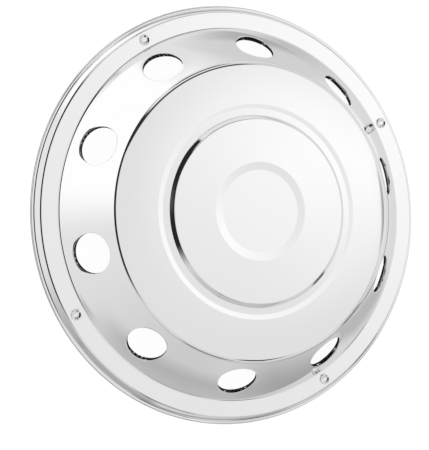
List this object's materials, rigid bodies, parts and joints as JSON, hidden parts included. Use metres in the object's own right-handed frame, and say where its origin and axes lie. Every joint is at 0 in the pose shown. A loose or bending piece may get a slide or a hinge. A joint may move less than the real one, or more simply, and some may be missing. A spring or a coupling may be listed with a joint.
{
  "type": "truck wheel simulator",
  "caption": "Deep-drawn polished steel cover for a truck wheel, with a domed stepped face, hand holes in its sloping wall and clips riveted behind its flange.",
  "frame": {"origin": "centre of the rim, on the plane that the edge of the rim rests on", "axes": "+Z along the wheel's axis, out through the face; +X towards the first hand hole"},
  "size_m": [0.583, 0.583, 0.0912],
  "materials": {
    "polished_steel": "mirror-polished stainless sheet",
    "spring_steel": "plain spring steel strip",
    "rivet_steel": "polished stainless rivet"
  },
  "bodies": {
    "root": {"cover_shell": "polished_steel", "clip_1": "spring_steel", "clip_2": "spring_steel", "clip_3": "spring_steel", "clip_4": "spring_steel", "rivet_1": "rivet_steel", "rivet_2": "rivet_steel", "rivet_3": "rivet_steel", "rivet_4": "rivet_steel"}
  },
  "joints": []
}
